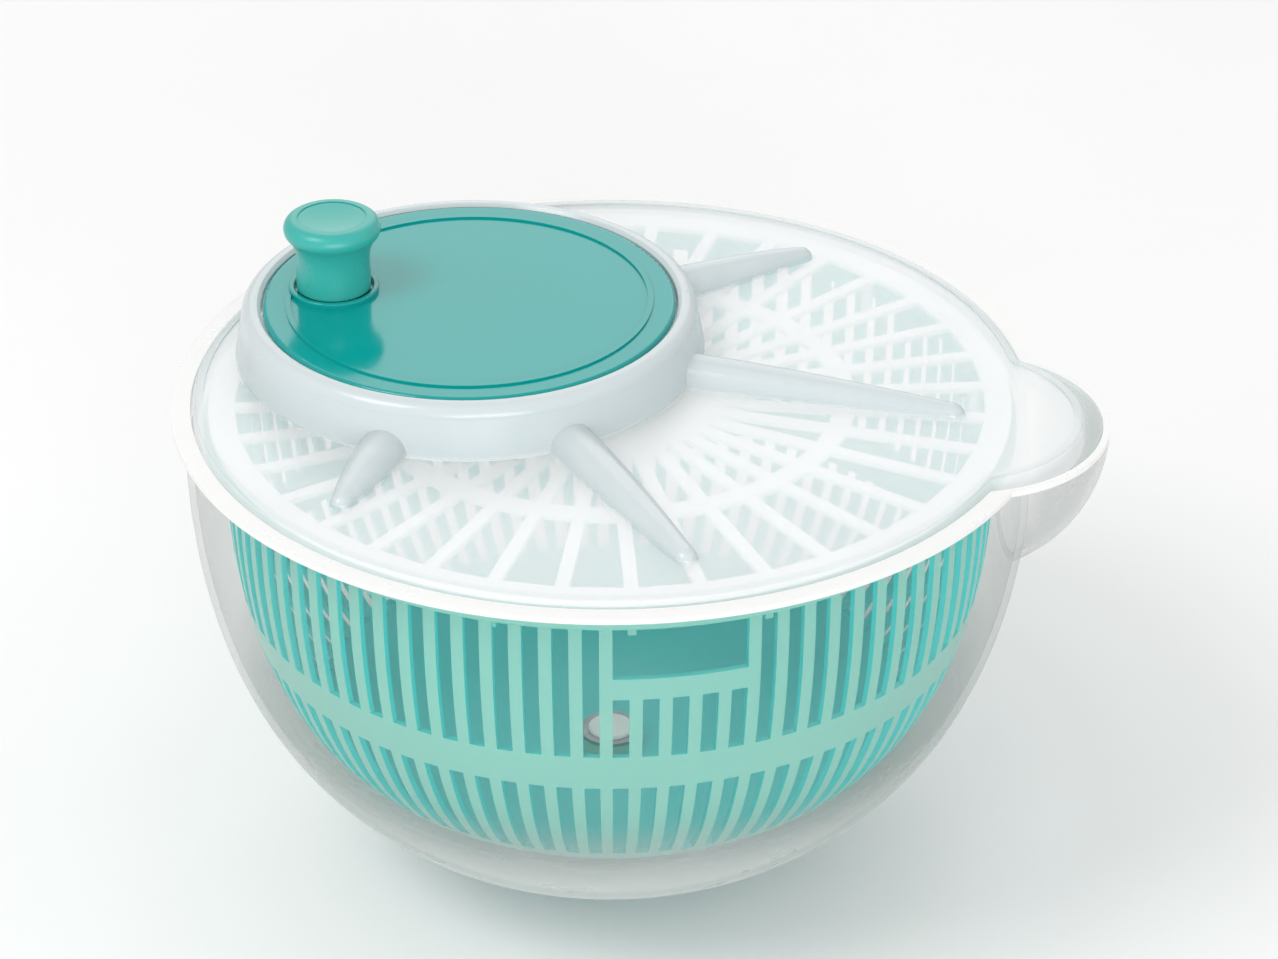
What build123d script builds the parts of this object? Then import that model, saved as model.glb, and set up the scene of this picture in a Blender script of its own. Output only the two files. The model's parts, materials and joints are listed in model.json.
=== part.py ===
from build123d import *
from math import acos, cos, pi, radians, sin, sqrt, tan
import os

# Salad spinner: a bowl with a pouring spout, a slotted basket that spins on a pivot in the bowl,
# and a lid with a hand crank that drives the basket through a pair of gears.
# Millimetres. The origin is on the bowl's axis at the surface it stands on, +Z is up and
# +X points towards the spout.

# ---------------------------------------------------------------- driving dimensions
# bowl
RIM_R = 130.0  # outside of the flat rim
BOWL_H = 148.0
BOWL_WALL = 2.0
BOWL_WALL_R = 126.3  # outside of the wall under the rim
BOWL_CURVE_TOP = 142.0  # the wall is upright above this height
BOWL_CROWN_R = 14.0  # the bottom is flat inside this radius
BOWL_POWER = 2.33  # exponent of the wall's superellipse
FOOT_R = 42.0
FOOT_H = 2.0
FOOT_T = 2.5
FOOT_PAD_R = 8.0  # pad in the middle of the base
RIM_T = 1.6
LEDGE_DEPTH = 5.0  # the lid's seat, below the rim
LEDGE_R = 122.4
# spout: a spherical scoop on the rim
SPOUT_X = 104.4
SPOUT_R = 44.0
# pivot in the bowl
COLUMN_R = 9.0
COLUMN_FOOT_R = 13.0
COLUMN_TOP = 18.0
SPIGOT_TOP = 29.0
SPIGOT_FLATS = 9.0
HEX_PLAY = 0.1
BUSH_R = 7.0
BUSH_FLANGE_R = 10.0
BUSH_FLANGE_T = 2.0
# basket
BASKET_R = 115.0  # outside of the wall
BASKET_T = 1.8
BASKET_BOTTOM = 24.0
BASKET_FLOOR_R = 34.0
BASKET_POWER = 2.55
BASKET_RIM_HALF = 3.8  # half the width of the rolled rim
CREST_DROP = 3.0  # crest of the rolled rim below the bowl's rim
SLOT_COUNT = 84
SLOT_SHARE = 0.56  # of the pitch
UPPER_SLOTS = (91.0, 138.6)
LOWER_SLOTS = (43.5, 78.5)
WINDOW_ANGLE = -70.0
WINDOW_SLOTS = 5  # slots that the grip window takes the place of
WINDOW_SILL = 119.0
WINDOW_BAR = 7.0  # height of the bar under the window
LUG_COUNT = 18
LUG_W = 2.4
LUG_H = 8.0
HUB_H = 5.2  # above the basket's underside
# lid
LID_R = 123.5
LID_WALL = 1.6
LID_SKIRT = 7.4
LID_PLATE = 2.0
LID_RIDGE = 0.8  # the edge stands above the plate
LOBE_X = 100.3
LOBE_R = 40.7
LOBE_FILLET = 3.0
# drum on the lid, around the crank
CRANK_OFFSET_ANGLE = 158.0  # direction from the bowl's axis to the crank's axis
DRUM_R = 70.6
DRUM_TOP_R = 68.4
DRUM_H = 16.4
DRUM_WALL = 2.4
DRUM_MOUTH_R = 62.6
# fins on the lid
FIN_COUNT = 4
FIN_FIRST = -100.0
FIN_PITCH = 46.5
FIN_R = 7.5
FIN_TIP_R = 3.6
FIN_TIP_LENGTH = 4.0
FIN_BULGE = 0.7
FIN_REACH = 106.0  # distance of the tips from the bowl's axis
# gears
GEAR_MODULE = 1.5
GEAR_TEETH = 54
PINION_TEETH = 12
PRESSURE_ANGLE = 25.0
ADDENDUM = 0.85  # in modules
DEDENDUM = 1.15
BACKLASH = 0.2
GEAR_FACE = 5.5
GEAR_HUB_R = 10.0
GEAR_WEB = 2.4
GEAR_RIM_R = 34.0
GEAR_PAD_R = 5.0  # pads for the screws
GEAR_HOLE_R = 7.0  # lightening holes
# gear plate, axles and bushes
GEAR_PLATE_R = 67.0
SCREW_CIRCLE = 63.4
SCREW_BOSS_R = 4.4
SCREW_BOSS_H = 10.0
SCREW_COUNT = 4
SHANK_R = 1.4
HEAD_R = 2.8
HEAD_H = 1.4
CROSS_L = 3.2  # driver recess of the screws
CROSS_W = 0.7
CRANK_AXLE_R = 4.0
PINION_SHAFT_R = 5.0
BUSH_WALL = 2.4
BUSH_FLANGE = 1.0
BUSH_FLANGE_W = 1.6
BOSS_R = 11.5
COUNTERBORE_R = 9.0
GROOVE_DEPTH = 0.8
CLIP_T = 0.7
# crank disc and knob
DISC_R = 61.9
DISC_T = 3.0
DISC_HUB_R = 9.0
DISC_BOSS_R = 3.6
DISC_SCREW_CIRCLE = 24.0
DISC_SCREW_COUNT = 3
DISC_SCREW_HEAD = 1.6
BEAD_R = 54.3
BEAD_W = 1.6
BEAD_H = 0.6
KNOB_OFFSET = 41.5
SOCKET_R = 13.6
SOCKET_WALL = 1.7
SOCKET_H = 1.6
KNOB_H = 24.0
KNOB_NECK_R = 11.2
KNOB_TOP_R = 14.4
PIN_R = 3.0
PIN_HEAD_R = 5.0
PIN_HEAD_T = 1.4
WASHER_T = 0.6
WASHER_R = 8.0
CAP_R = 10.4
CAP_T = 2.2
DISH_R = 60.0  # hollow in the knob's cap
# cover under the lid
COVER_R = 119.0
COVER_T = 1.6
COVER_RIBS = 36
COVER_RIB_W = 4.0
COVER_ANGLE = 3.0
COVER_SLOTS = ((34.5, 66.5), (73.0, 111.0))  # inner and outer radius of each ring of slots
PEG_COUNT = 9
PEG_ANGLE = 13.0
PEG_R = 1.8
PEG_CIRCLE = 109.0
PEG_LENGTH = 12.0
HEX_FLATS = 8.0
HEX_LENGTH = 5.5
COVER_HUB_R = 9.0
COVER_SCREW_R = 5.5
COVER_SCREW_HEAD = 1.8
# clearances
GAP = 0.5  # between pieces that pass each other
RUNNING = 0.05  # radial clearance of a bearing

# ---------------------------------------------------------------- heights and centres
LEDGE_Z = BOWL_H - LEDGE_DEPTH
RIDGE_TOP = LEDGE_Z + LID_SKIRT
PLATE_TOP = RIDGE_TOP - LID_RIDGE
PLATE_UNDER = PLATE_TOP - LID_PLATE
COVER_TOP = PLATE_UNDER - GAP
COVER_UNDER = COVER_TOP - COVER_T
CREST_Z = BOWL_H - CREST_DROP
ROLL_Z = CREST_Z - BASKET_RIM_HALF  # centre of the basket's rolled rim
BASKET_CURVE_TOP = ROLL_Z - 1.5
DRUM_TOP = PLATE_TOP + DRUM_H
DISC_TOP = DRUM_TOP - 0.4
DISC_UNDER = DISC_TOP - DISC_T
CRANK_OFFSET = GEAR_MODULE * (GEAR_TEETH + PINION_TEETH) / 2
CRANK_X = CRANK_OFFSET * cos(radians(CRANK_OFFSET_ANGLE))
CRANK_Y = CRANK_OFFSET * sin(radians(CRANK_OFFSET_ANGLE))
KNOB_X = CRANK_X - KNOB_OFFSET
LID_AXIS = (0, 0)
CRANK = (CRANK_X, CRANK_Y)
KNOB = (KNOB_X, CRANK_Y)
CRANK_FRAME = Plane(origin=(CRANK_X, CRANK_Y, 0), x_dir=(1, 0, 0), z_dir=(0, -1, 0))
CRANK_AXIS = Axis((CRANK_X, CRANK_Y, 0), (0, 0, 1))
KNOB_FRAME = Plane(origin=(KNOB_X, CRANK_Y, 0), x_dir=(1, 0, 0), z_dir=(0, -1, 0))
KNOB_AXIS = Axis((KNOB_X, CRANK_Y, 0), (0, 0, 1))

# the basket's bearing
HUB_TOP = BASKET_BOTTOM + HUB_H
BASKET_CLIP_Z = HUB_TOP + 0.3
BUSH_UNDER = COLUMN_TOP + 0.1
HUB_UNDER = BUSH_UNDER + BUSH_FLANGE_T + 0.3

# the basket's slots
PITCH = 360 / SLOT_COUNT
SLOT_HALF = PITCH * SLOT_SHARE / 2
ROLL_R = BASKET_R - BASKET_T + BASKET_RIM_HALF  # radius of the middle of the rolled rim
UPPER_REACH = (BASKET_R - 12, BASKET_R + 1.5)
LOWER_REACH = (BASKET_R - 40, BASKET_R + 1.5)
SIDE_GAP = WINDOW_SLOTS // 2 + 1  # slots from the middle of a window to the first full slot
FULL_SLOTS = SLOT_COUNT // 2 - WINDOW_SLOTS
WINDOW_HALF = PITCH * (WINDOW_SLOTS // 2) + SLOT_HALF

# bearings in the gear plate, the same on both axles
PLATE_BOSS_TOP = PLATE_TOP + 3.0
COUNTERBORE_TOP = PLATE_UNDER + 2.0
BUSH_TOP = PLATE_BOSS_TOP + BUSH_FLANGE
GEAR_UNDER = BUSH_TOP + 0.2
GEAR_TOP = GEAR_UNDER + GEAR_FACE
CLIP_TOP = COUNTERBORE_TOP - 0.1
CLIP_Z = CLIP_TOP - CLIP_T
SCREW_FIRST = CRANK_OFFSET_ANGLE + 180 + 45
SCREW_BOSS_TOP = PLATE_TOP + SCREW_BOSS_H

# crank, knob and cover
AXLE_SEAT = DISC_UNDER + 1.2  # top of the axle, inside the disc
KNOB_UNDER = DISC_TOP + WASHER_T + 0.1
KNOB_TOP = DISC_TOP + KNOB_H
KNOB_WEB_TOP = DISC_TOP + 16.0
HEX_BOTTOM = COVER_UNDER - HEX_LENGTH
COVER_HUB_BOTTOM = HEX_BOTTOM - 0.2
PEG_TOP = COVER_UNDER - PEG_LENGTH + PEG_R  # where a peg's round end begins

parts = {}
ON_FLOOR = (Align.CENTER, Align.CENTER, Align.MIN)


def finish(node, label):
    """Name a finished piece and keep it for the export."""
    node.part.label = label
    parts[label] = node.part


def superellipse(top_r, floor_r, top_z, floor_z, power, count=9):
    """Points of a quarter superellipse in the XZ plane, from the upright wall to the flat floor."""
    points = []
    for i in range(count):
        angle = pi / 2 * i / (count - 1)
        r = floor_r + (top_r - floor_r) * max(cos(angle), 0.0) ** (2 / power)
        z = top_z - (top_z - floor_z) * sin(angle) ** (2 / power)
        points.append((r, z))
    return points


def bowl_profile(inset):
    """Half section of the bowl's outside (inset 0) or of its cavity, closed on the axis."""
    floor_z = FOOT_H + inset
    wall = superellipse(BOWL_WALL_R - inset, BOWL_CROWN_R, BOWL_CURVE_TOP, floor_z, BOWL_POWER)
    with BuildSketch() as profile:
        with BuildLine():
            Polyline((0, floor_z), (0, BOWL_H), (BOWL_WALL_R - inset, BOWL_H), wall[0])
            Spline(*wall, tangents=((0, -1), (-1, 0)))
            Line(wall[-1], (0, floor_z))
        make_face()
    return profile.sketch


def basket_profile(inset):
    """Half section of the basket's outside (inset 0) or of its cavity, closed on the axis."""
    floor_z = BASKET_BOTTOM + inset
    wall = superellipse(BASKET_R - inset, BASKET_FLOOR_R, BASKET_CURVE_TOP, floor_z, BASKET_POWER)
    with BuildSketch() as profile:
        with BuildLine():
            Polyline((0, floor_z), (0, ROLL_Z), (BASKET_R - inset, ROLL_Z), wall[0])
            Spline(*wall, tangents=((0, -1), (-1, 0)))
            Line(wall[-1], (0, floor_z))
        make_face()
    return profile.sketch


def tube(outer_r, inner_r, bottom, top, mode=Mode.ADD, centre=(0, 0)):
    """A round tube, or a plain cylinder when inner_r is 0, in the part being built."""
    solid = Cylinder(outer_r, top - bottom, align=ON_FLOOR, mode=Mode.PRIVATE)
    if inner_r > 0:
        solid -= Cylinder(inner_r, top - bottom, align=ON_FLOOR, mode=Mode.PRIVATE)
    with Locations((centre[0], centre[1], bottom)):
        add(solid, mode=mode)


def sector(inner_r, outer_r, half_angle):
    """Flat wedge about +X whose sides point at the axis, in the sketch being built."""
    slope = tan(radians(half_angle))
    Polygon(
        (inner_r, -inner_r * slope), (outer_r, -outer_r * slope),
        (outer_r, outer_r * slope), (inner_r, inner_r * slope), align=None,
    )


def gear_sketch(teeth, turned):
    """Involute gear about the origin, its first tooth turned off +X by an angle, as a flat sketch."""
    pitch_r = GEAR_MODULE * teeth / 2
    base_r = pitch_r * cos(radians(PRESSURE_ANGLE))
    tip_r = pitch_r + ADDENDUM * GEAR_MODULE
    root_r = pitch_r - DEDENDUM * GEAR_MODULE
    start_r = max(base_r, root_r - 0.3)
    pressure = radians(PRESSURE_ANGLE)
    thickness = pi * GEAR_MODULE / 2 - BACKLASH / 2
    half_base = thickness / (2 * pitch_r) + tan(pressure) - pressure

    def flank_point(radius):
        roll = acos(base_r / radius)
        angle = half_base - (tan(roll) - roll)
        return (radius * cos(angle), radius * sin(angle))

    flank = [flank_point(start_r + (tip_r - start_r) * i / 4) for i in range(5)]
    inside = (root_r - 0.5) / start_r
    foot = (flank[0][0] * inside, flank[0][1] * inside)
    with BuildSketch() as tooth:
        with BuildLine():
            Spline(*flank)
            Line(flank[0], foot)
            Line(foot, (foot[0], 0))
            Line((foot[0], 0), (tip_r, 0))
            Line((tip_r, 0), flank[-1])
        make_face()
        mirror(about=Plane.XZ)
    with BuildSketch() as gear:
        Circle(root_r)
        with PolarLocations(0, teeth, start_angle=turned):
            add(tooth.sketch)
    return gear.sketch


# ---------------------------------------------------------------- bowl
with BuildPart() as bowl:
    with BuildSketch(Plane.XZ):
        add(bowl_profile(0))
    revolve(axis=Axis.Z)
    tube(RIM_R, 0, BOWL_H - RIM_T, BOWL_H)
    tube(FOOT_R, FOOT_R - FOOT_T, 0, FOOT_H + FOOT_T)
    tube(FOOT_PAD_R, 0, 0, FOOT_H)
    with BuildSketch(Plane.XZ):
        add(bowl_profile(BOWL_WALL))
    revolve(axis=Axis.Z, mode=Mode.SUBTRACT)
    # the lid's seat, a bead inside the wall
    bead_root_r = BOWL_WALL_R - BOWL_WALL / 2
    with BuildSketch(Plane.XZ):
        Polygon(
            (bead_root_r, LEDGE_Z), (LEDGE_R, LEDGE_Z), (LEDGE_R, LEDGE_Z - 0.8),
            (bead_root_r, LEDGE_Z - 4.0), align=None,
        )
    revolve(axis=Axis.Z)
    with Locations((SPOUT_X, 0, BOWL_H)):
        Sphere(SPOUT_R - BOWL_WALL, mode=Mode.SUBTRACT)
    # column and hexagonal spigot for the basket's bush
    column_height = COLUMN_TOP - FOOT_H - BOWL_WALL / 2
    with Locations((0, 0, FOOT_H + BOWL_WALL / 2)):
        Cone(COLUMN_FOOT_R, COLUMN_R, column_height, align=ON_FLOOR)
    with BuildSketch(Plane.XY.offset(COLUMN_TOP - 1)):
        RegularPolygon(SPIGOT_FLATS / 2, 6, major_radius=False)
    extrude(amount=SPIGOT_TOP - COLUMN_TOP + 1)
finish(bowl, "bowl")

# spout outside the bowl's wall, open into the bowl
with BuildPart() as spout:
    with Locations((SPOUT_X, 0, BOWL_H)):
        Sphere(SPOUT_R, arc_size1=-90, arc_size2=0, align=(Align.CENTER, Align.CENTER, Align.MAX))
        Sphere(SPOUT_R - BOWL_WALL, mode=Mode.SUBTRACT)
    with BuildSketch(Plane.XZ):
        add(bowl_profile(0))
    revolve(axis=Axis.Z, mode=Mode.SUBTRACT)
    tube(RIM_R, 0, BOWL_H - RIM_T, BOWL_H, mode=Mode.SUBTRACT)
finish(spout, "spout")

# ---------------------------------------------------------------- bush between bowl and basket
with BuildPart() as pivot_bush:
    tube(BUSH_FLANGE_R, 0, BUSH_UNDER, BUSH_UNDER + BUSH_FLANGE_T)
    tube(BUSH_R, 0, BUSH_UNDER, BASKET_CLIP_Z + CLIP_T + 1.0)
    tube(BUSH_R + 1, BUSH_R - GROOVE_DEPTH, BASKET_CLIP_Z, BASKET_CLIP_Z + CLIP_T, mode=Mode.SUBTRACT)
    chamfer(pivot_bush.edges().group_by(Axis.Z)[-1], 0.5)
    with BuildSketch(Plane.XY.offset(BUSH_UNDER)):
        RegularPolygon(SPIGOT_FLATS / 2 + HEX_PLAY, 6, major_radius=False)
    extrude(amount=SPIGOT_TOP + 0.3 - BUSH_UNDER, mode=Mode.SUBTRACT)
finish(pivot_bush, "pivot_bush")


def retaining_ring(inner_r, outer_r, bottom, centre=(0, 0)):
    """An open retaining ring, in the part being built."""
    tube(outer_r, inner_r, bottom, bottom + CLIP_T, centre=centre)
    with Locations((centre[0] + outer_r, centre[1], bottom)):
        Box(outer_r * 2, inner_r, CLIP_T, align=ON_FLOOR, mode=Mode.SUBTRACT)


with BuildPart() as bush_clip:
    retaining_ring(BUSH_R - GROOVE_DEPTH, BUSH_R + 2.5, BASKET_CLIP_Z)
finish(bush_clip, "bush_clip")

# ---------------------------------------------------------------- basket
with BuildPart() as basket:
    with BuildSketch(Plane.XZ):
        add(basket_profile(0))
    revolve(axis=Axis.Z)
    # rolled rim
    with BuildSketch(Plane.XZ):
        with Locations((ROLL_R, ROLL_Z)):
            Circle(BASKET_RIM_HALF)
            Rectangle(2 * BASKET_RIM_HALF, 1.8, align=(Align.CENTER, Align.MAX))
    revolve(axis=Axis.Z)
    with BuildSketch(Plane.XZ):
        with Locations((ROLL_R, ROLL_Z)):
            Circle(BASKET_RIM_HALF - BASKET_T)
            Rectangle(2 * (BASKET_RIM_HALF - BASKET_T), 4.0, align=(Align.CENTER, Align.MAX))
    revolve(axis=Axis.Z, mode=Mode.SUBTRACT)
    with BuildSketch(Plane.XZ):
        add(basket_profile(BASKET_T))
    revolve(axis=Axis.Z, mode=Mode.SUBTRACT)
    # upper slots, short ones under the two grip windows
    with BuildSketch(Plane.XY.offset(UPPER_SLOTS[0])):
        for side in (0, 180):
            first = WINDOW_ANGLE + side + SIDE_GAP * PITCH
            with PolarLocations(0, FULL_SLOTS, first, (FULL_SLOTS - 1) * PITCH, endpoint=True):
                sector(*UPPER_REACH, SLOT_HALF)
    extrude(amount=UPPER_SLOTS[1] - UPPER_SLOTS[0], mode=Mode.SUBTRACT)
    with BuildSketch(Plane.XY.offset(UPPER_SLOTS[0])):
        for side in (0, 180):
            first = WINDOW_ANGLE + side - (SIDE_GAP - 1) * PITCH
            with PolarLocations(0, WINDOW_SLOTS, first, (WINDOW_SLOTS - 1) * PITCH, endpoint=True):
                sector(*UPPER_REACH, SLOT_HALF)
    extrude(amount=WINDOW_SILL - WINDOW_BAR - UPPER_SLOTS[0], mode=Mode.SUBTRACT)
    with BuildSketch(Plane.XY.offset(WINDOW_SILL)):
        with PolarLocations(0, 2, WINDOW_ANGLE):
            sector(*UPPER_REACH, WINDOW_HALF)
    extrude(amount=UPPER_SLOTS[1] - WINDOW_SILL, mode=Mode.SUBTRACT)
    # lower slots
    with BuildSketch(Plane.XY.offset(LOWER_SLOTS[0])):
        with PolarLocations(0, SLOT_COUNT, WINDOW_ANGLE):
            sector(*LOWER_REACH, SLOT_HALF)
    extrude(amount=LOWER_SLOTS[1] - LOWER_SLOTS[0], mode=Mode.SUBTRACT)
    # lugs that the cover's pegs push
    lug_depth = BASKET_R - 1 - (PEG_CIRCLE - PEG_R)
    with PolarLocations(BASKET_R - 1, LUG_COUNT, COVER_ANGLE):
        with Locations((0, 0, ROLL_Z)):
            Box(lug_depth, LUG_W, LUG_H, align=(Align.MAX, Align.CENTER, Align.MAX))
    # hub that turns on the bush
    tube(BUSH_FLANGE_R, 0, HUB_UNDER, HUB_TOP)
    tube(BUSH_R + RUNNING, 0, HUB_UNDER, HUB_TOP, mode=Mode.SUBTRACT)
finish(basket, "basket")

# ---------------------------------------------------------------- lid
RIDGE_W = 3.0  # width of the raised edge


def lid_outline(inset):
    """Round outline with the lobe over the spout, drawn smaller by an inset."""
    with BuildSketch() as outline:
        Circle(LID_R - inset)
        with Locations((LOBE_X, 0)):
            Circle(LOBE_R - inset)
        corners = outline.vertices().sort_by(Axis.X)[-2:]
        fillet(corners, LOBE_FILLET + inset)
    return outline.sketch


def fin_length(angle):
    """Distance from the crank's axis, in a direction, to where a fin's tip ends on the lid."""
    along = CRANK_X * cos(radians(angle)) + CRANK_Y * sin(radians(angle))
    return sqrt(along**2 - CRANK_OFFSET**2 + FIN_REACH**2) - along


def fin(angle):
    """Half of a blunt cone with slightly bulging sides, on the plate and pointing away from the drum."""
    start = DRUM_R - 2.0
    length = fin_length(angle)
    tip = length - FIN_TIP_LENGTH
    middle = ((start + tip) / 2, (FIN_R + FIN_TIP_R) / 2 + FIN_BULGE)
    with BuildSketch() as profile:
        with BuildLine():
            ThreePointArc((start, FIN_R), middle, (tip, FIN_TIP_R))
            ThreePointArc((tip, FIN_TIP_R), (length - 1.2, FIN_TIP_R * 0.65), (length, 0))
            Polyline((length, 0), (start, 0), (start, FIN_R))
        make_face()
    half_cone = revolve(profile.sketch, axis=Axis.X, revolution_arc=180, mode=Mode.PRIVATE)
    return Location((CRANK_X, CRANK_Y, PLATE_TOP), (0, 0, angle)) * half_cone


FINS = [fin(FIN_FIRST + i * FIN_PITCH) for i in range(FIN_COUNT)]
OUTLINES = {inset: lid_outline(inset) for inset in (0, LID_WALL, RIDGE_W)}

with BuildPart() as lid:
    with BuildSketch(Plane.XY.offset(LEDGE_Z)):
        add(OUTLINES[0])
    extrude(amount=RIDGE_TOP - LEDGE_Z)
    fillet(lid.edges().group_by(Axis.Z)[-1], 1.2)
    with BuildSketch(Plane.XY.offset(LEDGE_Z)):
        add(OUTLINES[LID_WALL])
    extrude(amount=PLATE_UNDER - LEDGE_Z, mode=Mode.SUBTRACT)
    with BuildSketch(Plane.XY.offset(PLATE_TOP)):
        add(OUTLINES[RIDGE_W])
    extrude(amount=RIDGE_TOP - PLATE_TOP, mode=Mode.SUBTRACT)
    add(FINS)
    tube(GEAR_PLATE_R + 0.4, 0, PLATE_UNDER, PLATE_TOP, mode=Mode.SUBTRACT, centre=CRANK)
    # drum
    with BuildSketch(CRANK_FRAME):
        with BuildLine():
            Polyline(
                (DRUM_TOP_R - 4.0, DRUM_TOP), (DRUM_MOUTH_R + 1.0, DRUM_TOP), (DRUM_MOUTH_R, DRUM_TOP - 1.0),
                (DRUM_MOUTH_R, DRUM_TOP - 4.6), (DRUM_TOP_R - DRUM_WALL, DRUM_TOP - 6.4),
                (DRUM_R - DRUM_WALL, PLATE_UNDER), (DRUM_R, PLATE_UNDER), (DRUM_R, PLATE_TOP),
                (DRUM_TOP_R, DRUM_TOP - 4.0),
            )
            TangentArc((DRUM_TOP_R, DRUM_TOP - 4.0), (DRUM_TOP_R - 4.0, DRUM_TOP), tangent=(0, 1))
        make_face()
    revolve(axis=CRANK_AXIS)
    # bosses for the screws of the gear plate
    with Locations((CRANK_X, CRANK_Y, PLATE_TOP)):
        with PolarLocations(SCREW_CIRCLE, SCREW_COUNT, SCREW_FIRST):
            Cylinder(SCREW_BOSS_R, SCREW_BOSS_TOP - PLATE_TOP, align=ON_FLOOR)
            Cylinder(SHANK_R, SCREW_BOSS_TOP - PLATE_TOP - 2.0, align=ON_FLOOR, mode=Mode.SUBTRACT)
finish(lid, "lid")

# ---------------------------------------------------------------- gear plate, its screws and bushes
CRANK_BUSH_R = CRANK_AXLE_R + BUSH_WALL
PINION_BUSH_R = PINION_SHAFT_R + BUSH_WALL


def cross_slot():
    """Driver recess cut into a screw's head, in the part being built."""
    Box(CROSS_L, CROSS_W, CROSS_W, align=ON_FLOOR, mode=Mode.SUBTRACT)
    Box(CROSS_W, CROSS_L, CROSS_W, align=ON_FLOOR, mode=Mode.SUBTRACT)


with BuildPart() as gear_plate:
    tube(GEAR_PLATE_R, 0, PLATE_UNDER, PLATE_TOP, centre=CRANK)
    for centre, bush_r in ((CRANK, CRANK_BUSH_R), (LID_AXIS, PINION_BUSH_R)):
        tube(BOSS_R, 0, PLATE_UNDER, PLATE_BOSS_TOP, centre=centre)
        tube(COUNTERBORE_R, 0, PLATE_UNDER, COUNTERBORE_TOP, mode=Mode.SUBTRACT, centre=centre)
        tube(bush_r, 0, COUNTERBORE_TOP, PLATE_BOSS_TOP, mode=Mode.SUBTRACT, centre=centre)
    with Locations((CRANK_X, CRANK_Y, PLATE_UNDER)):
        with PolarLocations(SCREW_CIRCLE, SCREW_COUNT, SCREW_FIRST):
            Cylinder(SHANK_R + 0.2, LID_PLATE, align=ON_FLOOR, mode=Mode.SUBTRACT)
            Cone(HEAD_R + 0.1, SHANK_R + 0.2, HEAD_H, align=ON_FLOOR, mode=Mode.SUBTRACT)
finish(gear_plate, "gear_plate")

with BuildPart() as gear_plate_screws:
    with Locations((CRANK_X, CRANK_Y, PLATE_UNDER + 0.1)):
        with PolarLocations(SCREW_CIRCLE, SCREW_COUNT, SCREW_FIRST):
            Cone(HEAD_R, SHANK_R, HEAD_H, align=ON_FLOOR)
            Cylinder(SHANK_R, SCREW_BOSS_H - 1, align=ON_FLOOR)
            cross_slot()
finish(gear_plate_screws, "gear_plate_screws")


def flanged_bush(centre, shaft_r):
    """Bearing sleeve with a flange on top, in the part being built."""
    tube(shaft_r + BUSH_WALL, 0, COUNTERBORE_TOP, PLATE_BOSS_TOP, centre=centre)
    tube(shaft_r + BUSH_WALL + BUSH_FLANGE_W, 0, PLATE_BOSS_TOP, BUSH_TOP, centre=centre)
    tube(shaft_r + RUNNING, 0, COUNTERBORE_TOP, BUSH_TOP, mode=Mode.SUBTRACT, centre=centre)


with BuildPart() as crank_bush:
    flanged_bush(CRANK, CRANK_AXLE_R)
finish(crank_bush, "crank_bush")

with BuildPart() as pinion_bush:
    flanged_bush(LID_AXIS, PINION_SHAFT_R)
finish(pinion_bush, "pinion_bush")

# ---------------------------------------------------------------- crank: disc, gear, axle
with BuildPart() as crank_disc:
    tube(DISC_R, 0, DISC_UNDER, DISC_TOP, centre=CRANK)
    fillet(crank_disc.edges().group_by(Axis.Z)[-1], 1.2)
    tube(BEAD_R + BEAD_W / 2, BEAD_R - BEAD_W / 2, DISC_TOP - 0.5, DISC_TOP + BEAD_H, centre=CRANK)
    tube(SOCKET_R, SOCKET_R - SOCKET_WALL, DISC_TOP - 0.5, DISC_TOP + SOCKET_H, centre=KNOB)
    tube(SOCKET_R - SOCKET_WALL, 0, DISC_TOP, DISC_TOP + SOCKET_H, mode=Mode.SUBTRACT, centre=KNOB)
    fillet(crank_disc.edges().group_by(Axis.Z)[-1], 0.5)
    tube(DISC_HUB_R, 0, GEAR_TOP, DISC_UNDER, centre=CRANK)
    tube(CRANK_AXLE_R, 0, GEAR_TOP, AXLE_SEAT, mode=Mode.SUBTRACT, centre=CRANK)
    tube(PIN_R, 0, DISC_UNDER, DISC_TOP, mode=Mode.SUBTRACT, centre=KNOB)
    with Locations((CRANK_X, CRANK_Y, GEAR_TOP)):
        with PolarLocations(DISC_SCREW_CIRCLE, DISC_SCREW_COUNT):
            Cylinder(DISC_BOSS_R, DISC_UNDER - GEAR_TOP, align=ON_FLOOR)
            Cylinder(SHANK_R, DISC_UNDER - GEAR_TOP, align=ON_FLOOR, mode=Mode.SUBTRACT)
finish(crank_disc, "crank_disc")

with BuildPart() as crank_gear:
    with BuildSketch(Plane((CRANK_X, CRANK_Y, GEAR_UNDER))):
        add(gear_sketch(GEAR_TEETH, CRANK_OFFSET_ANGLE + 180))
    extrude(amount=GEAR_FACE)
    tube(GEAR_RIM_R, GEAR_HUB_R, GEAR_UNDER + GEAR_WEB, GEAR_TOP, mode=Mode.SUBTRACT, centre=CRANK)
    with Locations((CRANK_X, CRANK_Y, GEAR_UNDER)):
        with PolarLocations(DISC_SCREW_CIRCLE, DISC_SCREW_COUNT):
            Cylinder(GEAR_PAD_R, GEAR_FACE, align=ON_FLOOR)
            Cylinder(SHANK_R, GEAR_FACE, align=ON_FLOOR, mode=Mode.SUBTRACT)
        with PolarLocations(DISC_SCREW_CIRCLE - 1, DISC_SCREW_COUNT, 60):
            Cylinder(GEAR_HOLE_R, GEAR_FACE, align=ON_FLOOR, mode=Mode.SUBTRACT)
    tube(CRANK_AXLE_R, 0, GEAR_UNDER, GEAR_TOP, mode=Mode.SUBTRACT, centre=CRANK)
finish(crank_gear, "crank_gear")

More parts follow.
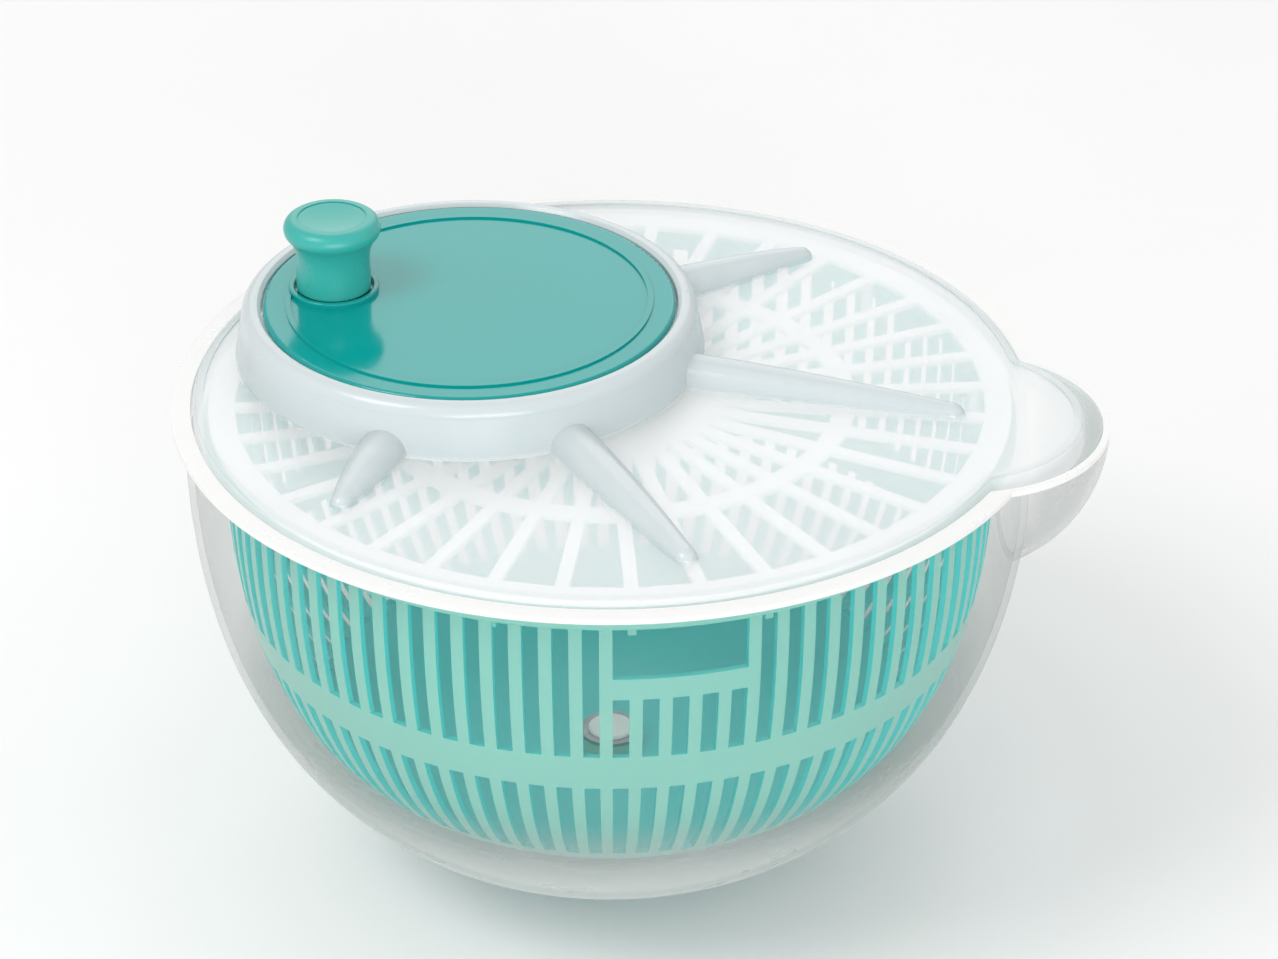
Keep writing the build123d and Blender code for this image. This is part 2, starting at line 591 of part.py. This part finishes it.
with BuildPart() as crank_gear_screws:
    with Locations((CRANK_X, CRANK_Y, GEAR_UNDER)):
        with PolarLocations(DISC_SCREW_CIRCLE, DISC_SCREW_COUNT):
            Cylinder(HEAD_R, DISC_SCREW_HEAD, align=(Align.CENTER, Align.CENTER, Align.MAX))
            Cylinder(SHANK_R, GEAR_FACE + 2.5, align=ON_FLOOR)
        with Locations((0, 0, -DISC_SCREW_HEAD)):
            with PolarLocations(DISC_SCREW_CIRCLE, DISC_SCREW_COUNT):
                cross_slot()
finish(crank_gear_screws, "crank_gear_screws")

with BuildPart() as crank_axle:
    tube(CRANK_AXLE_R, 0, PLATE_UNDER + 0.3, AXLE_SEAT, centre=CRANK)
    tube(CRANK_AXLE_R, CRANK_AXLE_R - GROOVE_DEPTH, CLIP_Z, CLIP_TOP, mode=Mode.SUBTRACT, centre=CRANK)
finish(crank_axle, "crank_axle")

with BuildPart() as crank_clip:
    retaining_ring(CRANK_AXLE_R - GROOVE_DEPTH, CRANK_AXLE_R + 3.0, CLIP_Z, centre=CRANK)
finish(crank_clip, "crank_clip")

# ---------------------------------------------------------------- knob on its pin
with BuildPart() as knob_pin:
    tube(PIN_HEAD_R, 0, DISC_UNDER - PIN_HEAD_T, DISC_UNDER, centre=KNOB)
    tube(PIN_R, 0, DISC_UNDER, KNOB_WEB_TOP + 0.2, centre=KNOB)
    tube(PIN_HEAD_R, 0, KNOB_WEB_TOP + 0.2, KNOB_WEB_TOP + 0.2 + PIN_HEAD_T, centre=KNOB)
    chamfer(knob_pin.edges().group_by(Axis.Z)[-1], 0.6)
finish(knob_pin, "knob_pin")

with BuildPart() as knob_washer:
    tube(WASHER_R, PIN_R + RUNNING, DISC_TOP, DISC_TOP + WASHER_T, centre=KNOB)
finish(knob_washer, "knob_washer")

with BuildPart() as knob:
    with BuildSketch(KNOB_FRAME):
        with BuildLine():
            Polyline(
                (KNOB_NECK_R - 0.6, KNOB_UNDER), (0, KNOB_UNDER), (0, KNOB_TOP),
                (KNOB_TOP_R - 3.2, KNOB_TOP),
            )
            ThreePointArc(
                (KNOB_TOP_R - 3.2, KNOB_TOP), (KNOB_TOP_R - 0.2, KNOB_TOP - 1.8),
                (KNOB_TOP_R - 1.0, KNOB_TOP - 6.0),
            )
            Spline(
                (KNOB_TOP_R - 1.0, KNOB_TOP - 6.0), (KNOB_NECK_R + 0.3, KNOB_TOP - 10.0),
                (KNOB_NECK_R, KNOB_UNDER + 3.0), tangents=((-1, -1.2), (0, -1)),
            )
            Polyline(
                (KNOB_NECK_R, KNOB_UNDER + 3.0), (KNOB_NECK_R, KNOB_UNDER + 0.6),
                (KNOB_NECK_R - 0.6, KNOB_UNDER),
            )
        make_face()
    revolve(axis=KNOB_AXIS)
    tube(PIN_R + RUNNING, 0, KNOB_UNDER, KNOB_WEB_TOP, mode=Mode.SUBTRACT, centre=KNOB)
    tube(PIN_HEAD_R + 1.0, 0, KNOB_WEB_TOP, KNOB_TOP, mode=Mode.SUBTRACT, centre=KNOB)
    tube(CAP_R, 0, KNOB_TOP - CAP_T, KNOB_TOP, mode=Mode.SUBTRACT, centre=KNOB)
finish(knob, "knob")

with BuildPart() as knob_cap:
    tube(CAP_R, 0, KNOB_TOP - CAP_T, KNOB_TOP - 0.3, centre=KNOB)
    with Locations((KNOB_X, CRANK_Y, KNOB_TOP + DISH_R - 1.0)):
        Sphere(DISH_R, mode=Mode.SUBTRACT)
finish(knob_cap, "knob_cap")

# ---------------------------------------------------------------- pinion and cover
with BuildPart() as drive_pinion:
    with BuildSketch(Plane.XY.offset(GEAR_UNDER)):
        add(gear_sketch(PINION_TEETH, CRANK_OFFSET_ANGLE + 180 / PINION_TEETH))
    extrude(amount=GEAR_FACE)
    tube(PINION_SHAFT_R, 0, COVER_TOP, GEAR_UNDER)
    tube(PINION_SHAFT_R, PINION_SHAFT_R - GROOVE_DEPTH, CLIP_Z, CLIP_TOP, mode=Mode.SUBTRACT)
    with BuildSketch(Plane.XY.offset(HEX_BOTTOM)):
        RegularPolygon(HEX_FLATS / 2, 6, major_radius=False)
    extrude(amount=COVER_TOP - HEX_BOTTOM)
    tube(SHANK_R, 0, HEX_BOTTOM, COVER_TOP, mode=Mode.SUBTRACT)
finish(drive_pinion, "drive_pinion")

with BuildPart() as pinion_clip:
    retaining_ring(PINION_SHAFT_R - GROOVE_DEPTH, PINION_SHAFT_R + 3.0, CLIP_Z)
finish(pinion_clip, "pinion_clip")

with BuildPart() as basket_cover:
    tube(COVER_R, 0, COVER_UNDER, COVER_TOP)
    for inner_r, outer_r in COVER_SLOTS:
        half_inner = inner_r * tan(radians(180 / COVER_RIBS)) - COVER_RIB_W / 2
        half_outer = outer_r * tan(radians(180 / COVER_RIBS)) - COVER_RIB_W / 2
        with BuildSketch(Plane.XY.offset(COVER_UNDER)):
            with PolarLocations(0, COVER_RIBS, COVER_ANGLE + 180 / COVER_RIBS):
                Polygon(
                    (inner_r, -half_inner), (outer_r, -half_outer), (outer_r, half_outer),
                    (inner_r, half_inner), align=None,
                )
        extrude(amount=COVER_T, mode=Mode.SUBTRACT)
    tube(COVER_HUB_R, 0, COVER_HUB_BOTTOM, COVER_TOP)
    with BuildSketch(Plane.XY.offset(COVER_HUB_BOTTOM)):
        RegularPolygon(HEX_FLATS / 2 + HEX_PLAY, 6, major_radius=False)
    extrude(amount=COVER_TOP - COVER_HUB_BOTTOM, mode=Mode.SUBTRACT)
finish(basket_cover, "basket_cover")

with BuildPart() as cover_pegs:
    with Locations((0, 0, PEG_TOP)):
        with PolarLocations(PEG_CIRCLE, PEG_COUNT, PEG_ANGLE):
            Cylinder(PEG_R, COVER_UNDER - PEG_TOP, align=ON_FLOOR)
            Sphere(PEG_R)
finish(cover_pegs, "cover_pegs")

with BuildPart() as cover_screw:
    tube(COVER_SCREW_R, 0, COVER_HUB_BOTTOM - COVER_SCREW_HEAD, COVER_HUB_BOTTOM)
    tube(SHANK_R, 0, COVER_HUB_BOTTOM, COVER_TOP - 1.0)
    with Locations((0, 0, COVER_HUB_BOTTOM - COVER_SCREW_HEAD)):
        cross_slot()
finish(cover_screw, "cover_screw")

os.makedirs("parts", exist_ok=True)
for label, solid in parts.items():
    export_step(solid, f"parts/{label}.step")
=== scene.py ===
import bpy
import json
import math
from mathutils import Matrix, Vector


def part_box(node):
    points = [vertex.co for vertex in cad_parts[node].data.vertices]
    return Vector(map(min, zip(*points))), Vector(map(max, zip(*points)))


# Looks of the salad spinner: frosted bowl, lid and cover, turquoise basket, crank and knob.
# Metres. +Z is up and +X points towards the spout.

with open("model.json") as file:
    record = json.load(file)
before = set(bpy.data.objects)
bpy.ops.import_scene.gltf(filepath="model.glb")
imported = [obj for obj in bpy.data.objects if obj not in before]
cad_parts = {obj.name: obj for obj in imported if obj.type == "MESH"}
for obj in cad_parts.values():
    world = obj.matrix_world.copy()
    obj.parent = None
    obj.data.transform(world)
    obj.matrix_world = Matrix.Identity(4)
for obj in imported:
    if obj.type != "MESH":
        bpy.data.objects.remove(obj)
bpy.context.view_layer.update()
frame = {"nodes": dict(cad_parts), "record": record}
nodes = frame["nodes"]

# ---------------------------------------------------------------- places taken from the frame
RIM_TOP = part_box("bowl")[1].z
PLATE_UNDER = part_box("gear_plate")[0].z
LID_PLATE_THICKNESS = 0.002
PLATE_TOP = PLATE_UNDER + LID_PLATE_THICKNESS
SPOUT_START_INSET = 0.004  # the milkier plastic begins this far out from the spout's inner end
SPOUT_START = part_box("spout")[0].x + SPOUT_START_INSET

# ---------------------------------------------------------------- plastics
PLASTIC_IOR = 1.49
FINE_GRAIN = 1500.0  # per metre
COARSE_GRAIN = 1200.0
LIGHT_STOPPED = 0.4  # share of a frosted wall's cover that also stops light
WORLD_STRENGTH = 0.76
FLOOR_REACH = 6.0
MOST_SEE_THROUGH_FACES = 24  # one sight line crosses many thin walls, each with two faces

# ---------------------------------------------------------------- view and light
VIEW_AZIMUTH = math.radians(10.0)  # 0 looks along +Y
VIEW_ELEVATION = math.radians(28.76)
VIEW_DISTANCE = 1.514  # from the middle of the bowl's rim
AIM_RIGHT = 0.0086
AIM_DOWN = 0.0298
LENS = 143.7

view_right = Vector((math.cos(VIEW_AZIMUTH), math.sin(VIEW_AZIMUTH), 0))
view_ahead = Vector((-math.sin(VIEW_AZIMUTH), math.cos(VIEW_AZIMUTH), 0))


def add_camera():
    rim_centre = Vector((0, 0, RIM_TOP))
    back = VIEW_DISTANCE * math.cos(VIEW_ELEVATION)
    up = VIEW_DISTANCE * math.sin(VIEW_ELEVATION)
    aim = rim_centre + view_right * AIM_RIGHT - Vector((0, 0, AIM_DOWN))
    camera = bpy.data.objects.new("camera", bpy.data.cameras.new("camera"))
    camera.location = rim_centre - view_ahead * back + Vector((0, 0, up))
    camera.rotation_euler = (aim - camera.location).to_track_quat("-Z", "Y").to_euler()
    camera.data.lens = LENS
    camera.data.clip_end = 20
    bpy.context.scene.collection.objects.link(camera)
    bpy.context.scene.camera = camera


def add_light(name, right, ahead, height, size, power, tint):
    light = bpy.data.objects.new(name, bpy.data.lights.new(name, "AREA"))
    light.data.shape = "DISK"
    light.data.size = size
    light.data.energy = power
    light.data.color = tint
    light.location = view_right * right + view_ahead * ahead + Vector((0, 0, height))
    to_object = Vector((0, 0, RIM_TOP / 2)) - light.location
    light.rotation_euler = to_object.to_track_quat("-Z", "Y").to_euler()
    light.visible_camera = False
    bpy.context.scene.collection.objects.link(light)


# ---------------------------------------------------------------- shader helpers
def shader_node(material, kind, settings=None, **inputs):
    """A new node; an input is either a value or another node's output socket."""
    node = material.node_tree.nodes.new(kind)
    for name, value in (settings or {}).items():
        setattr(node, name, value)
    for name, value in inputs.items():
        socket = node.inputs[name.replace("_", " ")]
        if isinstance(value, bpy.types.NodeSocket):
            material.node_tree.links.new(value, socket)
        else:
            socket.default_value = value
    return node


def new_material(name):
    material = bpy.data.materials.new(name)
    material.use_nodes = True
    shader = material.node_tree.nodes["Principled BSDF"]
    return material, shader


def link(material, output, socket):
    material.node_tree.links.new(output, socket)


def noise(material, scale, detail=2.0, roughness=0.5):
    """Noise over the object's own coordinates, its features about 1 / scale metres across."""
    place = shader_node(material, "ShaderNodeTexCoord").outputs["Object"]
    node = shader_node(
        material, "ShaderNodeTexNoise", Vector=place, Scale=scale, Detail=detail, Roughness=roughness
    )
    return node.outputs["Fac"]


def remap(material, value, low, high, to_low, to_high):
    node = shader_node(material, "ShaderNodeMapRange", Value=value)
    node.inputs["From Min"].default_value = low
    node.inputs["From Max"].default_value = high
    node.inputs["To Min"].default_value = to_low
    node.inputs["To Max"].default_value = to_high
    return node.outputs["Result"]


def blend_colours(material, factor, first, second):
    node = material.node_tree.nodes.new("ShaderNodeMix")
    node.data_type = "RGBA"
    link(material, factor, node.inputs["Factor"])
    for socket, value in ((node.inputs[6], first), (node.inputs[7], second)):
        if isinstance(value, bpy.types.NodeSocket):
            link(material, value, socket)
        else:
            socket.default_value = (*value, 1)
    return node.outputs[2]


def maths(material, operation, first, second):
    node = material.node_tree.nodes.new("ShaderNodeMath")
    node.operation = operation
    for socket, value in zip(node.inputs, (first, second)):
        if isinstance(value, bpy.types.NodeSocket):
            link(material, value, socket)
        else:
            socket.default_value = value
    return node.outputs[0]


def place_of(material, axis):
    place = shader_node(material, "ShaderNodeTexCoord").outputs["Object"]
    return shader_node(material, "ShaderNodeSeparateXYZ", Vector=place).outputs[axis]


def height_of(material):
    return place_of(material, "Z")


def moulded_surface(material, shader, grain, depth, gloss, gloss_change):
    """Fine moulded grain as bump, with roughness that changes slowly over the surface."""
    fine = noise(material, grain, 3.0, 0.6)
    bump = shader_node(material, "ShaderNodeBump", Strength=1.0, Distance=depth, Height=fine)
    link(material, bump.outputs["Normal"], shader.inputs["Normal"])
    patches = noise(material, 45.0, 4.0, 0.65)
    rough = remap(material, patches, 0.3, 0.7, gloss - gloss_change, gloss + gloss_change)
    link(material, rough, shader.inputs["Roughness"])


def two_tone(material, shader, main, other, scale):
    tone = remap(material, noise(material, scale, 4.0, 0.6), 0.35, 0.65, 0.0, 1.0)
    colour = blend_colours(material, tone, main, other)
    link(material, colour, shader.inputs["Base Color"])
    return colour


# ---------------------------------------------------------------- frosted plastics
def scatter_light(material, alpha, shader):
    """Frosted plastic hides what is behind it, but most of the light still comes through."""
    seen = shader_node(material, "ShaderNodeLightPath").outputs["Is Camera Ray"]
    share = remap(material, seen, 0, 1, LIGHT_STOPPED, 1.0)
    link(material, maths(material, "MULTIPLY", alpha, share), shader.inputs["Alpha"])


def frosted(name, main, other, face_alpha, edge_alpha, gloss):
    """Milky see-through plastic that hides more where the eye passes through it at a slant."""
    material, shader = new_material(name)
    colour = two_tone(material, shader, main, other, 14.0)
    moulded_surface(material, shader, FINE_GRAIN, 0.00002, gloss, 0.05)
    slant = shader_node(material, "ShaderNodeLayerWeight", Blend=0.1).outputs["Facing"]
    cover = remap(material, slant, 0.0, 1.0, face_alpha, edge_alpha)
    cloud = remap(material, noise(material, 9.0, 3.0), 0.3, 0.7, -0.015, 0.015)
    alpha = maths(material, "ADD", cover, cloud)
    shader.inputs["IOR"].default_value = PLASTIC_IOR
    return material, shader, colour, alpha


def frosted_bowl():
    material, shader, colour, alpha = frosted(
        "frosted_bowl", (0.30, 0.297, 0.29), (0.34, 0.337, 0.33), 0.045, 0.56, 0.30
    )
    # milkier in the thick wall of the spout; near the foot partly milkier plastic and partly painted light
    # that lifts the shade under the bowl
    foot_milk_and_painted_light = remap(material, height_of(material), 0.014, 0.070, 1.0, 0.0)
    spout = remap(material, place_of(material, "X"), SPOUT_START, SPOUT_START + 0.006, 0.0, 0.42)
    milk_and_painted_light = maths(material, "MAXIMUM", foot_milk_and_painted_light, spout)
    colour = blend_colours(material, milk_and_painted_light, colour, (0.84, 0.835, 0.82))
    alpha = maths(material, "ADD", alpha, maths(material, "MULTIPLY", milk_and_painted_light, 0.62))
    # the flat rim is painted solid white, a painted glow for the light that gathers in its edge
    rim = remap(material, height_of(material), RIM_TOP - 0.0022, RIM_TOP - 0.0014, 0.0, 1.0)
    link(material, blend_colours(material, rim, colour, (0.80, 0.80, 0.79)), shader.inputs["Base Color"])
    scatter_light(material, maths(material, "MAXIMUM", alpha, maths(material, "MULTIPLY", rim, 0.93)), shader)
    return material


def frosted_lid():
    material, shader, colour, alpha = frosted(
        "frosted_lid", (0.80, 0.81, 0.82), (0.84, 0.85, 0.86), 0.42, 0.95, 0.18
    )
    raised = remap(material, height_of(material), PLATE_TOP + 0.0002, PLATE_TOP + 0.0012, 0.0, 1.0)
    skirt = remap(material, height_of(material), PLATE_UNDER - 0.0003, PLATE_UNDER - 0.0012, 0.0, 0.45)
    # the raised drum and fins are white plastic with a painted cool cast standing in for the bluish front
    # fill light
    raised_with_painted_cool_cast = blend_colours(material, raised, colour, (0.57, 0.625, 0.64))
    link(material, raised_with_painted_cool_cast, shader.inputs["Base Color"])
    solid = maths(material, "MAXIMUM", maths(material, "MULTIPLY", raised, 0.93), skirt)
    scatter_light(material, maths(material, "MAXIMUM", alpha, solid), shader)
    return material


def frosted_cover():
    material, shader, colour, alpha = frosted(
        "frosted_cover", (0.93, 0.94, 0.94), (0.95, 0.96, 0.96), 0.85, 0.98, 0.38
    )
    scatter_light(material, alpha, shader)
    return material


# ---------------------------------------------------------------- turquoise plastics
def teal(name, main, other, gloss, depth):
    material, shader = new_material(name)
    colour = two_tone(material, shader, main, other, 22.0)
    moulded_surface(material, shader, FINE_GRAIN, depth, gloss, 0.04)
    shader.inputs["IOR"].default_value = PLASTIC_IOR
    return material, shader, colour


def outward(material):
    """1 on faces that look away from the bowl's axis, 0 on those that look towards it."""
    place = shader_node(material, "ShaderNodeTexCoord")
    flat = shader_node(material, "ShaderNodeVectorMath", {"operation": "MULTIPLY"})
    link(material, place.outputs["Object"], flat.inputs[0])
    flat.inputs[1].default_value = (1, 1, 0)
    along = shader_node(material, "ShaderNodeVectorMath", {"operation": "NORMALIZE"})
    link(material, flat.outputs["Vector"], along.inputs[0])
    facing = shader_node(material, "ShaderNodeVectorMath", {"operation": "DOT_PRODUCT"})
    link(material, along.outputs["Vector"], facing.inputs[0])
    link(material, place.outputs["Normal"], facing.inputs[1])
    return remap(material, facing.outputs["Value"], 0.2, 0.6, 0.0, 1.0)


def teal_basket():
    """Matt turquoise: the outward faces are painted pale, a painted lit side for the light falling on them,
    and the inside stays clear and deep in colour.
    """
    material, shader, colour = teal("teal_basket", (0.0, 0.68, 0.66), (0.0, 0.72, 0.69), 0.34, 0.00002)
    # painted light: outward faces get a pale lit colour, inward faces keep the basket's deep teal
    painted_lit_outside = blend_colours(material, outward(material), colour, (0.24, 0.62, 0.52))
    link(material, painted_lit_outside, shader.inputs["Base Color"])
    slant = shader_node(material, "ShaderNodeLayerWeight", Blend=0.4).outputs["Facing"]
    link(material, remap(material, slant, 0.0, 1.0, 0.72, 0.95), shader.inputs["Alpha"])
    return material


# ---------------------------------------------------------------- hidden works
def acetal():
    material, shader = new_material("acetal")
    two_tone(material, shader, (0.80, 0.79, 0.75), (0.84, 0.83, 0.80), 40.0)
    moulded_surface(material, shader, COARSE_GRAIN, 0.00006, 0.38, 0.05)
    return material


def white_plastic():
    material, shader = new_material("white_plastic")
    two_tone(material, shader, (0.84, 0.85, 0.85), (0.88, 0.89, 0.89), 30.0)
    moulded_surface(material, shader, COARSE_GRAIN, 0.00008, 0.42, 0.06)
    return material


def turned_steel(name, colour, rough):
    material, shader = new_material(name)
    dark = tuple(channel * 0.82 for channel in colour)
    two_tone(material, shader, colour, dark, 300.0)
    shader.inputs["Metallic"].default_value = 1.0
    across = {"bands_direction": "Z"}
    lines = shader_node(material, "ShaderNodeTexWave", across, Scale=2500.0, Distortion=1.5)
    height = lines.outputs["Fac"]
    bump = shader_node(material, "ShaderNodeBump", Strength=0.5, Distance=0.00003, Height=height)
    link(material, bump.outputs["Normal"], shader.inputs["Normal"])
    changing = remap(material, noise(material, 500.0), 0.3, 0.7, rough - 0.08, rough + 0.08)
    link(material, changing, shader.inputs["Roughness"])
    return material


def floor_material():
    material, shader = new_material("pale_floor")
    two_tone(material, shader, (0.86, 0.86, 0.86), (0.88, 0.88, 0.88), 3.0)
    shader.inputs["Roughness"].default_value = 0.9
    return material


# ---------------------------------------------------------------- put together
SLOT_MATERIALS = {
    "frosted_bowl": frosted_bowl(),
    "frosted_lid": frosted_lid(),
    "frosted_cover": frosted_cover(),
    "teal_basket": teal_basket(),
    "teal_disc": teal("teal_disc", (0.0, 0.30, 0.282), (0.0, 0.312, 0.295), 0.12, 0.00001)[0],
    "teal_knob": teal("teal_knob", (0.03, 0.37, 0.325), (0.04, 0.39, 0.345), 0.30, 0.00003)[0],
    "white_plastic": white_plastic(),
    "acetal": acetal(),
    "axle_steel": turned_steel("axle_steel", (0.62, 0.62, 0.63), 0.28),
    "spring_steel": turned_steel("spring_steel", (0.35, 0.35, 0.37), 0.35),
    "screw_steel": turned_steel("screw_steel", (0.60, 0.60, 0.60), 0.32),
}


def dress_nodes():
    for entry in frame["record"]["subparts"]:
        piece = nodes[entry["node"]]
        piece.data.materials.clear()
        piece.data.materials.append(SLOT_MATERIALS[entry["material_slot"]])


def add_floor():
    mesh = bpy.data.meshes.new("floor")
    signs = ((-1, -1), (1, -1), (1, 1), (-1, 1))
    corners = [(right * FLOOR_REACH, ahead * FLOOR_REACH, 0) for right, ahead in signs]
    mesh.from_pydata(corners, [], [(0, 1, 2, 3)])
    floor = bpy.data.objects.new("floor", mesh)
    floor.data.materials.append(floor_material())
    bpy.context.scene.collection.objects.link(floor)


def add_world():
    world = bpy.data.worlds.new("studio")
    world.use_nodes = True
    background = world.node_tree.nodes["Background"]
    background.inputs["Color"].default_value = (1, 1, 1, 1)
    background.inputs["Strength"].default_value = WORLD_STRENGTH
    bpy.context.scene.world = world
    bpy.context.scene.view_settings.view_transform = "Standard"
    bpy.context.scene.cycles.transparent_max_bounces = MOST_SEE_THROUGH_FACES


dress_nodes()
add_floor()
add_world()
add_camera()
add_light("key", -1.2, -0.7, 1.9, 1.0, 16.0, (1.0, 0.99, 0.97))
add_light("front", 0.3, -2.2, 0.25, 1.6, 32.0, (0.97, 0.99, 1.0))
add_light("back", 0.0, 2.4, 1.5, 2.4, 16.0, (1.0, 1.0, 1.0))
